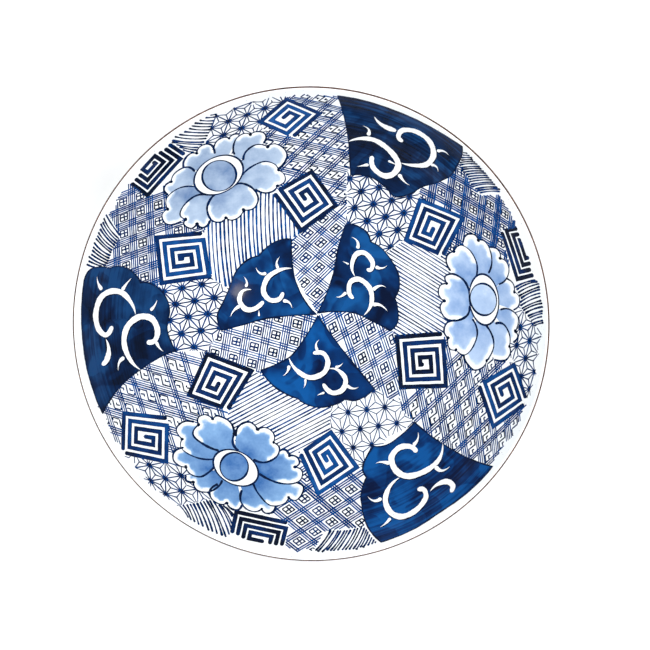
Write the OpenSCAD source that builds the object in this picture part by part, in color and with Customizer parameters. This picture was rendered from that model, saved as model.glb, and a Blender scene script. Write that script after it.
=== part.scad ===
// Shallow porcelain serving bowl: a wall shaped as a piece of a sphere, on a turned foot ring,
// with a clear glaze skin inside, outside and under the foot, and a narrow brown line on the lip.
// Millimetres. The origin is the middle of the plane that the foot rests on, and +Z is up.

/* [Bowl] */
// Overall diameter across the lip
rim_d = 300; // [270:1:330]
// Overall height, from the resting plane to the crest of the lip
bowl_h = 86; // [84:1:94]
// Depth of the inside, from the crest of the lip to the middle of the well
inner_depth = 75; // [66:1:76]
// Thickness of the floor in its middle, with both glaze skins
floor_t = 5.4; // [4.6:0.2:6]
// Thickness of the lip, with its glaze
lip_t = 2.6; // [2:0.2:4]

/* [Foot ring] */
// Outer diameter of the foot ring
foot_d = 124; // [112:1:136]
// Width of the foot ring's wall
foot_w = 7; // [5.5:0.5:9]
// Radius of the hollow curve between the foot ring and the wall, over the glaze
cove_r = 4; // [3:0.5:5]
// Bevel on both edges of the contact face
foot_bevel = 1.2; // [0.6:0.1:1.6]
// Height of the bare clay edge that the glaze stops short of
bare_h = 2.6; // [2:0.1:3.5]

/* [Glaze and rim line] */
// Thickness of each glaze skin
glaze_t = 0.4; // [0.2:0.1:0.6]
// Where the brown line starts on the inner side of the lip, in degrees up from level
line_in_a = 80; // [60:1:100]
// Where the brown line stops on the outer side of the lip, in degrees up from level
line_out_a = -15; // [-30:1:0]

/* [Hidden] */

// Facets round the axis, and chords along each stretch of the section
$fn = 240;
WALL_N = 32;
FLOOR_N = 12;
JOINT_N = 4;
ROUND_N = 6;

PORCELAIN = [0.93, 0.92, 0.89];
BARE_CLAY = [0.82, 0.76, 0.68];
WHITE_GLAZE = [0.95, 0.96, 0.97];
COBALT_GLAZE = [0.10, 0.20, 0.42];
IRON_BROWN = [0.35, 0.22, 0.16];

// Every layer is drawn in section, as points [radius, height].
// The lip is round, and both faces of the wall are spheres that meet the lip's circle smoothly.
lip_r = lip_t / 2;
lip_c = [rim_d / 2 - lip_r, bowl_h - lip_r];
floor_z = bowl_h - inner_depth;
base_z = floor_z - floor_t;

// Inner sphere: it touches the lip's circle from inside the bowl
in_rise = lip_c[1] - floor_z;
in_r = (lip_c[0] * lip_c[0] + in_rise * in_rise - lip_r * lip_r) / (2 * (in_rise + lip_r));
in_c = [0, floor_z + in_r];
in_lip_a = atan2(lip_c[1] - in_c[1], lip_c[0]);

// Outer sphere: it holds the lip's circle inside it
out_rise = lip_c[1] - base_z;
out_r = (lip_c[0] * lip_c[0] + out_rise * out_rise - lip_r * lip_r) / (2 * (out_rise - lip_r));
out_c = [0, base_z + out_r];
out_lip_a = atan2(lip_c[1] - out_c[1], lip_c[0]);

// Foot ring: upright walls, with a hollow curve of the same centre in the clay and in the glaze
foot_out = foot_d / 2;
foot_in = foot_out - foot_w;
cove_out_c = cove_centre(foot_out + glaze_t + cove_r);
cove_in_c = cove_centre(foot_in - glaze_t - cove_r);
cove_out_a = atan2(cove_out_c[1] - out_c[1], cove_out_c[0]);
cove_in_a = atan2(cove_in_c[1] - out_c[1], cove_in_c[0]);

// Centre of a curve of radius cove_r that touches the outer sphere from below, at radius x
function cove_centre(x) = [x, out_c[1] - sqrt(pow(out_r + cove_r, 2) - x * x)];

// Points along an arc about c, from angle a to angle b
function arc(c, r, a, b, n) =
    [for (i = [0 : n]) let (t = a + (b - a) * i / n) c + r * [cos(t), sin(t)]];

// The same points from the other end
function reversed(p) = [for (i = [len(p) - 1 : -1 : 0]) p[i]];

// Arcs joined end to end, where each starts on the last point of the one before
function chain(arcs) =
    concat(arcs[0], [for (k = [1 : len(arcs) - 1], i = [1 : len(arcs[k]) - 1]) arcs[k][i]]);

// A straight stretch to a point, for use after another stretch in a chain
function line_to(p) = [p, p];

// Stretches of the section. depth is how far below the finished surface the stretch runs:
// 0 on the glaze, and glaze_t on the clay.
function well(depth) = arc(in_c, in_r + depth, -90, in_lip_a, WALL_N);
function lip_inside(depth) = arc(lip_c, lip_r - depth, 180 + in_lip_a, line_in_a, ROUND_N);
function lip_crest(depth) = arc(lip_c, lip_r - depth, line_in_a, line_out_a, 2 * ROUND_N);
function lip_outside(depth) = arc(lip_c, lip_r - depth, line_out_a, out_lip_a, ROUND_N);
function outer_wall(depth) = arc(out_c, out_r - depth, out_lip_a, cove_out_a, WALL_N);
function foot_joint(depth) = arc(out_c, out_r - depth, cove_out_a, cove_in_a, JOINT_N);
function recess_roof(depth) = arc(out_c, out_r - depth, cove_in_a, -90, FLOOR_N);
function outer_cove(depth) = arc(cove_out_c, cove_r + depth, 180 + cove_out_a, 180, ROUND_N);
function inner_cove(depth) = arc(cove_in_c, cove_r + depth, 180 + cove_in_a, 0, ROUND_N);

// A solid turned from a closed outline
module turned(outline) {
    rotate_extrude() polygon(outline);
}

// A glaze skin: the closed strip between the finished surface and the clay under it
module skin(surface, clay) {
    turned(concat(surface, reversed(clay)));
}

// Fired porcelain wall and floor, in one thrown piece
module bowl_body() {
    color(PORCELAIN)
        turned(chain([
            well(glaze_t),
            lip_inside(glaze_t),
            lip_crest(glaze_t),
            lip_outside(glaze_t),
            outer_wall(glaze_t),
            foot_joint(glaze_t),
            recess_roof(glaze_t)
        ]));
}

// Turned foot ring under the floor, with a bare contact face
module foot_ring() {
    outer_side = outer_cove(glaze_t);
    inner_side = reversed(inner_cove(glaze_t));
    joint = foot_joint(glaze_t);
    contact = [
        [foot_out, foot_bevel],
        [foot_out - foot_bevel, 0],
        [foot_in + foot_bevel, 0],
        [foot_in, foot_bevel]
    ];
    joint_inside = [for (i = [len(joint) - 2 : -1 : 1]) joint[i]];
    color(BARE_CLAY) turned(concat(outer_side, contact, inner_side, joint_inside));
}

// Glaze over the painted inside, from the well to the brown line
module inner_glaze() {
    color(COBALT_GLAZE)
        skin(chain([well(0), lip_inside(0)]), chain([well(glaze_t), lip_inside(glaze_t)]));
}

// Glaze over the outer wall and the outside of the foot ring
module outer_glaze() {
    color(WHITE_GLAZE)
        skin(
            chain([
                lip_outside(0),
                outer_wall(0),
                outer_cove(0),
                line_to([foot_out + glaze_t, bare_h + glaze_t])
            ]),
            chain([
                lip_outside(glaze_t),
                outer_wall(glaze_t),
                outer_cove(glaze_t),
                line_to([foot_out, bare_h])
            ])
        );
}

// Glaze over the recess under the floor and the inside of the foot ring
module base_glaze() {
    color(WHITE_GLAZE)
        skin(
            chain([
                reversed(recess_roof(0)),
                inner_cove(0),
                line_to([foot_in - glaze_t, bare_h + glaze_t])
            ]),
            chain([
                reversed(recess_roof(glaze_t)),
                inner_cove(glaze_t),
                line_to([foot_in, bare_h])
            ])
        );
}

// Narrow iron-brown line on the crest and the outer edge of the lip
module rim_line() {
    color(IRON_BROWN) skin(lip_crest(0), lip_crest(glaze_t));
}

bowl_body();
foot_ring();
inner_glaze();
outer_glaze();
base_glaze();
rim_line();
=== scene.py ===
"""Looks of a blue and white porcelain serving bowl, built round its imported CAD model.

The painting is laid out in a flat frame, in millimetres: a point's distance from [0, 0] is its
distance along the bowl's inside from the middle of the well, and its direction is its real one.
Every stroke and every wash is a very thin solid on the glaze, with a brush's uneven edge.
"""

import math
import random

import bpy
import numpy as np
from mathutils import Matrix, Vector
from mathutils.geometry import delaunay_2d_cdt


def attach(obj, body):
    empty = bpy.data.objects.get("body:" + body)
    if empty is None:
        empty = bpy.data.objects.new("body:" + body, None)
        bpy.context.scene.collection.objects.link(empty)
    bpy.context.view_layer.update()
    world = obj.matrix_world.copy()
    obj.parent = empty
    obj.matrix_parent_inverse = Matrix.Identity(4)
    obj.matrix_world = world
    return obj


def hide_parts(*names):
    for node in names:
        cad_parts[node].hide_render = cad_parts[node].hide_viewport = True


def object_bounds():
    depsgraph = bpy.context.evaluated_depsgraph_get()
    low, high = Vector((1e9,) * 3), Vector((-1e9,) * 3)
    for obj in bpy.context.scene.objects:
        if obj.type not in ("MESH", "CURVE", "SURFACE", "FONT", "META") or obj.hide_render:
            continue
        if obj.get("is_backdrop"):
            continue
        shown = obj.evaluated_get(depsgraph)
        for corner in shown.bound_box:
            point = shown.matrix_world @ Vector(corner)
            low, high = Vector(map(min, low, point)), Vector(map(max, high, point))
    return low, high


MM = 0.001
BODY = "root"

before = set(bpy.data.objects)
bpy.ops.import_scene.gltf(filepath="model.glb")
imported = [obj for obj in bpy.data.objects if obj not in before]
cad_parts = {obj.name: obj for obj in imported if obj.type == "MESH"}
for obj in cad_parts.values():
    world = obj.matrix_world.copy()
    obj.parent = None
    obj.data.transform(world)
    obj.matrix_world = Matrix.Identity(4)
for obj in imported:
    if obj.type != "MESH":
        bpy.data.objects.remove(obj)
cad_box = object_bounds()
dice = random.Random(20)


# ---------------------------------------------------------------- sizes, from the frame, in mm

def section_of(node):
    """Radius and height of every point of a CAD node."""
    points = np.array([v.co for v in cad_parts[node].data.vertices]) / MM
    return np.hypot(points[:, 0], points[:, 1]), points[:, 2]


def height_on_axis(node, choose):
    """Highest or lowest point of a CAD node on the bowl's axis."""
    radius, height = section_of(node)
    return float(choose(height[radius < 0.5]))


RIM_R = float(section_of("rim_line")[0].max())
TOP_Z = float(section_of("rim_line")[1].max())
WELL_Z = height_on_axis("inner_glaze", np.max)
BASE_Z = height_on_axis("base_glaze", np.min)
GLAZE = height_on_axis("base_glaze", np.max) - BASE_Z
# The foot's walls are upright over this height, and flare out into the bowl above it
UPRIGHT_H = 2.0
FOOT_R, FOOT_Z = section_of("foot_ring")
FOOT_OUT = float(FOOT_R[FOOT_Z < UPRIGHT_H].max())
FOOT_IN = float(FOOT_R[FOOT_Z < UPRIGHT_H].min())
# Bare clay at the foot, the hollow curve over it, the lip's half thickness and its middle
BARE_H = 2.6
COVE_R = 4.0
LIP_R = 1.3
LIP = (RIM_R - LIP_R, TOP_Z - LIP_R)
# Where the brown line starts and stops on the lip, in degrees up from level
LINE_IN, LINE_OUT = 80, -15

# Radius and centre height of the inner and of the outer sphere, which both touch the lip's circle
IN_RISE = LIP[1] - WELL_Z
IN_R = (LIP[0] ** 2 + IN_RISE ** 2 - LIP_R ** 2) / (2 * (IN_RISE + LIP_R))
IN_Z = WELL_Z + IN_R
OUT_RISE = LIP[1] - BASE_Z
OUT_R = (LIP[0] ** 2 + OUT_RISE ** 2 - LIP_R ** 2) / (2 * (OUT_RISE - LIP_R))
OUT_Z = BASE_Z + OUT_R


# ---------------------------------------------------------------- camera, light and floor

def add_camera():
    """Camera almost straight above the bowl, leaning a little to the upper right."""
    target = Vector((9.6, 1.2, TOP_Z)) * MM
    distance, seen_width, sensor = 1.3, 0.4075, 36.0
    lean, towards = math.radians(6.9), math.radians(65.7)
    away = Vector((
        math.sin(lean) * math.cos(towards),
        math.sin(lean) * math.sin(towards),
        math.cos(lean),
    ))
    data = bpy.data.cameras.new("camera")
    data.sensor_width = sensor
    data.lens = sensor * distance / seen_width
    camera = bpy.data.objects.new("camera", data)
    right = Vector((0, 1, 0)).cross(away).normalized()
    up = away.cross(right)
    turn = Matrix((right, up, away)).transposed().to_4x4()
    camera.matrix_world = Matrix.Translation(target + away * distance) @ turn
    bpy.context.scene.collection.objects.link(camera)
    bpy.context.scene.camera = camera


def add_soft_box(name, place, aim, size, power, colour, glint=False):
    """Square soft light at a place, turned to a point. Only a glint shows in the glaze's gloss."""
    data = bpy.data.lights.new(name, "AREA")
    data.size = size
    data.energy = power
    data.color = colour
    lamp = bpy.data.objects.new(name, data)
    lamp.location = place
    lamp.rotation_euler = (Vector(aim) - Vector(place)).to_track_quat("-Z", "Y").to_euler()
    lamp.visible_glossy = glint
    bpy.context.scene.collection.objects.link(lamp)


def add_light():
    """Plain studio: a pale room, three soft boxes above, and one small warm lamp that glints."""
    world = bpy.data.worlds.new("studio")
    world.use_nodes = True
    sky = world.node_tree.nodes["Background"]
    sky.inputs["Color"].default_value = (0.96, 0.98, 1.0, 1)
    sky.inputs["Strength"].default_value = 0.34
    bpy.context.scene.world = world
    middle = (0, 0, 0.03)
    add_soft_box("key", (-1.1, 0.9, 1.7), middle, 0.7, 30, (1.0, 1.0, 0.99))
    add_soft_box("fill", (1.4, 0.5, 1.5), middle, 0.8, 25, (0.99, 0.995, 1.0))
    add_soft_box("low_fill", (0.2, -1.7, 1.4), middle, 0.8, 24, (0.99, 1.0, 1.0))
    add_soft_box("glint", (0.63, -0.38, 1.33), middle, 0.11, 0.5, (1.0, 0.90, 0.78), True)
    bpy.context.scene.view_settings.view_transform = "Standard"


def add_floor():
    """Pale matt floor under the foot."""
    half = 3.0
    mesh = bpy.data.meshes.new("floor")
    corners = [(-half, -half, 0), (half, -half, 0), (half, half, 0), (-half, half, 0)]
    mesh.from_pydata(corners, [], [(0, 1, 2, 3)])
    floor = bpy.data.objects.new("floor", mesh)
    bpy.context.scene.collection.objects.link(floor)
    material = bpy.data.materials.new("floor_white")
    material.use_nodes = True
    shader = material.node_tree.nodes["Principled BSDF"]
    shader.inputs["Base Color"].default_value = (0.97, 0.97, 0.97, 1)
    shader.inputs["Roughness"].default_value = 0.9
    mesh.materials.append(material)
    floor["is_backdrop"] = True


# ---------------------------------------------------------------- materials

def srgb(red, green, blue):
    """Linear colour of an 8-bit one."""
    def linear(value):
        value = value / 255
        return value / 12.92 if value <= 0.04045 else ((value + 0.055) / 1.055) ** 2.4
    return (linear(red), linear(green), linear(blue), 1)


class Finish:
    """A node material under construction."""

    def __init__(self, name, roughness):
        self.material = bpy.data.materials.new(name)
        self.material.use_nodes = True
        self.tree = self.material.node_tree
        self.shader = self.tree.nodes["Principled BSDF"]
        self.shader.inputs["Roughness"].default_value = roughness
        self.shader.inputs["IOR"].default_value = 1.5
        self.shader.inputs["Specular IOR Level"].default_value = 0.22
        self.where = self.tree.nodes.new("ShaderNodeTexCoord").outputs["Object"]

    def put(self, value, socket):
        """A constant or a link into a socket."""
        if isinstance(value, bpy.types.NodeSocket):
            self.tree.links.new(value, socket)
        else:
            socket.default_value = value

    def noise(self, scale, detail=2.0, where=None, distortion=0.0):
        node = self.tree.nodes.new("ShaderNodeTexNoise")
        self.put(where or self.where, node.inputs["Vector"])
        node.inputs["Scale"].default_value = scale
        node.inputs["Detail"].default_value = detail
        node.inputs["Distortion"].default_value = distortion
        return node.outputs["Fac"]

    def reading(self, name):
        """A value kept on the mesh's points."""
        node = self.tree.nodes.new("ShaderNodeAttribute")
        node.attribute_name = name
        return node.outputs["Fac"]

    def math(self, kind, first, second=0.0, clamp=False):
        node = self.tree.nodes.new("ShaderNodeMath")
        node.operation = kind
        node.use_clamp = clamp
        self.put(first, node.inputs[0])
        self.put(second, node.inputs[1])
        return node.outputs[0]

    def plus(self, first, second, clamp=False):
        return self.math("ADD", first, second, clamp)

    def times(self, first, second):
        return self.math("MULTIPLY", first, second)

    def centred(self, value):
        """A noise moved to lie about zero."""
        return self.math("SUBTRACT", value, 0.5)

    def spread(self, value, low, high, start=0.0, end=1.0):
        """A value moved from one range to another, and kept in it."""
        node = self.tree.nodes.new("ShaderNodeMapRange")
        node.interpolation_type = "SMOOTHSTEP"
        for place, number in enumerate((value, low, high, start, end)):
            self.put(number, node.inputs[place])
        return node.outputs[0]

    def ramp(self, value, stops):
        """Colours by value. stops is a list of (place, colour)."""
        node = self.tree.nodes.new("ShaderNodeValToRGB")
        ramp = node.color_ramp
        while len(ramp.elements) < len(stops):
            ramp.elements.new(0.5)
        for element, (place, colour) in zip(ramp.elements, stops):
            element.position = place
            element.color = colour
        self.put(value, node.inputs["Fac"])
        return node.outputs["Color"]

    def mix(self, share, first, second):
        node = self.tree.nodes.new("ShaderNodeMix")
        node.data_type = "RGBA"
        self.put(share, node.inputs["Factor"])
        self.put(first, node.inputs["A"])
        self.put(second, node.inputs["B"])
        return node.outputs["Result"]

    def vector(self, x, y, z):
        node = self.tree.nodes.new("ShaderNodeCombineXYZ")
        for socket, value in zip(node.inputs, (x, y, z)):
            self.put(value, socket)
        return node.outputs[0]

    def bump(self, height, distance, strength=1.0):
        node = self.tree.nodes.new("ShaderNodeBump")
        node.inputs["Strength"].default_value = strength
        node.inputs["Distance"].default_value = distance
        self.put(height, node.inputs["Height"])
        self.put(node.outputs["Normal"], self.shader.inputs["Normal"])

    def glaze_surface(self):
        """Soft waves of a fired glaze, and a gloss that changes a little from place to place."""
        waves = self.noise(45, 1.0)
        ripples = self.noise(420, 2.0)
        height = self.plus(waves, self.times(ripples, 0.06))
        self.bump(height, 0.0004, 0.35)
        gloss = self.spread(self.noise(60, 3.0), 0.3, 0.7, 0.07, 0.14)
        self.put(gloss, self.shader.inputs["Roughness"])

    def colour(self, value):
        self.put(value, self.shader.inputs["Base Color"])
        return self.material


def white_glaze():
    """Cool clear glaze over white porcelain, faintly blue where it is thick."""
    finish = Finish("white_glaze", 0.1)
    finish.glaze_surface()
    cloud = finish.noise(22, 3.0)
    tint = finish.ramp(cloud, [(0.35, srgb(249, 251, 252)), (0.65, srgb(243, 248, 251))])
    speck = finish.spread(finish.noise(900, 0.0), 0.80, 0.83)
    return finish.colour(finish.mix(speck, tint, srgb(196, 196, 200)))


def cobalt_ink(name, pale, middle, dark, black):
    """Cobalt drawn with a brush: darker where the stroke ends, pools or overlaps."""
    finish = Finish(name, 0.1)
    finish.glaze_surface()
    drift = finish.centred(finish.noise(130, 2.0))
    grain = finish.centred(finish.noise(900, 1.0))
    pool = finish.times(finish.spread(finish.reading("edge"), 0.45, 1.0), 0.10)
    tone = finish.plus(finish.reading("tone"), finish.times(drift, 0.55))
    tone = finish.plus(tone, finish.times(grain, 0.12))
    tone = finish.plus(tone, pool, clamp=True)
    stops = [(0.0, pale), (0.38, middle), (0.68, dark), (1.0, black)]
    return finish.colour(finish.ramp(tone, stops))


def cobalt_ground(name, light, middle, dark, streak):
    """Ground filled with a wide brush: cloudy pools, streaks round the rim, a darker border."""
    finish = Finish(name, 0.1)
    finish.glaze_surface()
    cloud = finish.noise(38, 2.0, distortion=0.6)
    fine = finish.noise(160, 3.0)
    sweep = finish.vector(
        finish.times(finish.reading("along"), 0.014),
        finish.times(finish.reading("reach"), 0.55),
        0.0,
    )
    lines = finish.noise(1.0, 4.0, where=sweep)
    laps = finish.spread(finish.noise(30, 1.0, distortion=1.6), 0.47, 0.52, -0.12, 0.16)
    tone = finish.plus(finish.times(finish.centred(cloud), 2.4), laps)
    tone = finish.plus(tone, finish.times(finish.centred(fine), 0.5))
    streaks = finish.times(finish.centred(lines), streak)
    outer = finish.spread(finish.reading("reach"), 105, 160, 0.25, 1.0)
    tone = finish.plus(tone, finish.times(streaks, outer))
    tone = finish.plus(tone, finish.reading("tone"), clamp=True)
    rim = finish.spread(finish.reading("edge"), 0.35, 1.0, 0.0, 0.35)
    body = finish.ramp(tone, [(0.0, light), (0.5, middle), (1.0, dark)])
    return finish.colour(finish.mix(rim, body, dark))


def petal_wash(name, pale, strong):
    """Thin cobalt wash that pales to the white of the glaze at a petal's edge."""
    finish = Finish(name, 0.1)
    finish.glaze_surface()
    cloud = finish.centred(finish.noise(90, 3.0))
    grain = finish.centred(finish.noise(700, 2.0))
    swing = finish.times(cloud, finish.times(finish.reading("tone"), 1.25))
    tone = finish.plus(finish.reading("tone"), swing)
    tone = finish.plus(tone, finish.times(grain, 0.16), clamp=True)
    stops = [(0.05, srgb(246, 250, 252)), (0.42, pale), (1.0, strong)]
    return finish.colour(finish.ramp(tone, stops))


def iron_brown():
    """Iron line on the lip, thin enough in places to let the white through."""
    finish = Finish("iron_brown", 0.22)
    wear = finish.noise(260, 3.0)
    finish.bump(wear, 0.0001, 0.4)
    stops = [(0.30, srgb(60, 40, 38)), (0.62, srgb(100, 72, 62)), (0.80, srgb(140, 112, 98))]
    return finish.colour(finish.ramp(wear, stops))


def bare_clay():
    """Unglazed porcelain: matt, a little warm, rubbed smooth where it stands."""
    finish = Finish("bare_clay", 0.75)
    grit = finish.noise(2400, 3.0)
    cloud = finish.noise(80, 3.0)
    finish.bump(grit, 0.00008, 0.8)
    finish.put(finish.spread(grit, 0.3, 0.7, 0.62, 0.85), finish.shader.inputs["Roughness"])
    clay = finish.ramp(cloud, [(0.3, srgb(222, 206, 184)), (0.7, srgb(236, 226, 210))])
    speck = finish.spread(finish.noise(1500, 0.0), 0.74, 0.78)
    return finish.colour(finish.mix(speck, clay, srgb(150, 118, 92)))


def porcelain_body():
    """White fired body under the glaze."""
    finish = Finish("porcelain_body", 0.55)
    cloud = finish.noise(120, 3.0)
    finish.bump(finish.noise(1800, 2.0), 0.00006, 0.6)
    return finish.colour(finish.ramp(cloud, [(0.3, srgb(232, 230, 224)), (0.7, srgb(242, 241, 237))]))


# ---------------------------------------------------------------- turned glaze

def arc(centre, radius, start, end, count):
    """Points [radius, height] along an arc, with its angles in degrees up from level."""
    angles = np.radians(np.linspace(start, end, count + 1))
    return np.stack([centre[0] + radius * np.cos(angles), centre[1] + radius * np.sin(angles)], 1)


def joined(*stretches):
    """Stretches of a section joined end to end, each starting where the last one ends."""
    return np.concatenate([stretches[0]] + [stretch[1:] for stretch in stretches[1:]])


def turned(name, outline, count=360):
    """Closed mesh turned round the axis from a closed outline of [radius, height] points."""
    on_axis = outline[:, 0] < 1e-6
    angles = np.radians(np.arange(count) * 360 / count)
    points, first = [], []
    for (radius, height), pole in zip(outline, on_axis):
        first.append(len(points))
        if pole:
            points.append((0, 0, height * MM))
        else:
            points += [(radius * math.cos(a) * MM, radius * math.sin(a) * MM, height * MM) for a in angles]
    faces = []
    for here in range(len(outline)):
        there = (here + 1) % len(outline)
        if on_axis[here] and on_axis[there]:
            continue
        for turn in range(count):
            after = (turn + 1) % count
            a, b = first[here] + turn, first[here] + after
            c, d = first[there] + after, first[there] + turn
            if on_axis[here]:
                faces.append((first[here], c, d))
            elif on_axis[there]:
                faces.append((a, b, first[there]))
            else:
                faces.append((a, b, c, d))
    mesh = bpy.data.meshes.new(name)
    mesh.from_pydata(points, [], faces)
    mesh.validate()
    mesh.polygons.foreach_set("use_smooth", [True] * len(mesh.polygons))
    mesh.set_sharp_from_angle(angle=math.radians(40))
    return mesh


def show(name, mesh, material, slot, *nodes):
    """Makes a mesh a visible piece of the bowl, in place of the CAD nodes that it stands for."""
    mesh.materials.append(material)
    piece = bpy.data.objects.new(name, mesh)
    bpy.context.scene.collection.objects.link(piece)
    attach(piece, BODY)
    if nodes:
        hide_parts(*nodes)


def glaze_skin(name, section, material, slot, node):
    """Turned skin between the finished surface and the clay. section(depth, share) gives either."""
    fine, coarse = section(0.0, 1.0), section(GLAZE, 0.25)
    outline = np.concatenate([fine, coarse[::-1]])
    show(name, turned(name, outline), material, slot, node)


def add_glazes(white, brown):
    """The three clear glazes and the iron line, as finer copies of their CAD nodes."""
    in_lip = math.degrees(math.atan2(LIP[1] - IN_Z, LIP[0]))
    out_lip = math.degrees(math.atan2(LIP[1] - OUT_Z, LIP[0]))
    outer_r = FOOT_OUT + GLAZE + COVE_R
    inner_r = FOOT_IN - GLAZE - COVE_R
    outer_cove = (outer_r, OUT_Z - math.sqrt((OUT_R + COVE_R) ** 2 - outer_r ** 2))
    inner_cove = (inner_r, OUT_Z - math.sqrt((OUT_R + COVE_R) ** 2 - inner_r ** 2))
    outer_a = math.degrees(math.atan2(outer_cove[1] - OUT_Z, outer_r))
    inner_a = math.degrees(math.atan2(inner_cove[1] - OUT_Z, inner_r))

    def steps(count, share):
        """Chords of an arc, with a share of the full count where the face is hidden."""
        return max(4, int(count * share))

    def inside(depth, share):
        return joined(
            arc((0, IN_Z), IN_R + depth, -90, in_lip, steps(120, share)),
            arc(LIP, LIP_R - depth, 180 + in_lip, LINE_IN, steps(16, share)),
        )

    def crest(depth, share):
        return arc(LIP, LIP_R - depth, LINE_IN, LINE_OUT, steps(20, share))

    def outside(depth, share):
        return joined(
            arc(LIP, LIP_R - depth, LINE_OUT, out_lip, steps(12, share)),
            arc((0, OUT_Z), OUT_R - depth, out_lip, outer_a, steps(90, share)),
            arc(outer_cove, COVE_R + depth, 180 + outer_a, 180, steps(16, share)),
            np.array([[FOOT_OUT + GLAZE - depth, BARE_H + GLAZE - depth]] * 2),
        )

    def under(depth, share):
        return joined(
            arc((0, OUT_Z), OUT_R - depth, -90, inner_a, steps(40, share)),
            arc(inner_cove, COVE_R + depth, 180 + inner_a, 0, steps(16, share)),
            np.array([[FOOT_IN - GLAZE + depth, BARE_H + GLAZE - depth]] * 2),
        )

    glaze_skin("inside_glaze", inside, white, "painted_glaze", "inner_glaze")
    glaze_skin("rim_band", crest, brown, "iron_line", "rim_line")
    glaze_skin("outside_glaze", outside, white, "clear_glaze", "outer_glaze")
    glaze_skin("foot_recess_glaze", under, white, "clear_glaze", "base_glaze")


# ---------------------------------------------------------------- brush strokes and washes

class Face:
    """One painted face of the bowl: a sphere, with the side that its paint is on."""

    def __init__(self, radius, centre_z, side):
        self.radius = radius
        self.centre_z = centre_z
        self.side = side

    def place(self, flat, lift):
        """Points in metres and their normals, for points of the flat frame and heights over it."""
        reach = np.hypot(flat[:, 0], flat[:, 1])
        angle = reach / self.radius
        heading = flat / np.maximum(reach, 1e-9)[:, None]
        out = np.column_stack([heading * np.sin(angle)[:, None], -np.cos(angle)])
        points = out * (self.radius + self.side * lift)[:, None]
        points[:, 2] += self.centre_z
        return points * MM, out * self.side


INSIDE = Face(IN_R, IN_Z, -1)
OUTSIDE = Face(OUT_R, OUT_Z, 1)

# Heights over the glaze of the layers of paint, from the lowest, and of the root that they stand on
ROOT = -0.10
LAYER = {
    "square": 0.045, "line": 0.050, "ray_blot": 0.060, "ground": 0.062, "border": 0.074,
    "shadow": 0.079, "curl": 0.088, "blot": 0.090, "petal": 0.095, "petal_line": 0.155,
    "notch": 0.160, "ring": 0.172, "disc": 0.182, "ring_line": 0.190, "disc_line": 0.196,
}
PETAL_RISE = 0.006
# Half and whole period of a slow change along a stroke, in radians
HALF_WAVE, WAVE = 3.14, 6.28
# Longest straight piece of a stroke, which would leave the curved glaze if it were longer
LONGEST = 4.0
FINEST = 0.02


def lengths(ways):
    """Length of every vector in a list."""
    return np.hypot(*np.transpose(ways))


def distance_along(path):
    """Distance of every point of a path from its start, along it."""
    return np.concatenate([[0], np.cumsum(lengths(np.diff(path, axis=0)))])


def unit(ways):
    """Vectors of the same headings and a length of one."""
    return ways / np.maximum(lengths(ways), 1e-9)[:, None]


def at_distances(path, run, spots):
    """Points of a path at distances along it. run is the path's own distances."""
    return np.stack([np.interp(spots, run, path[:, k]) for k in (0, 1)], 1)


def unbroken(keep):
    """Start and end of every unbroken stretch of True, as a slice takes them."""
    changes = np.diff(np.concatenate([[False], keep, [False]]).astype(int))
    return np.flatnonzero(changes).reshape(-1, 2).tolist()


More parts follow.
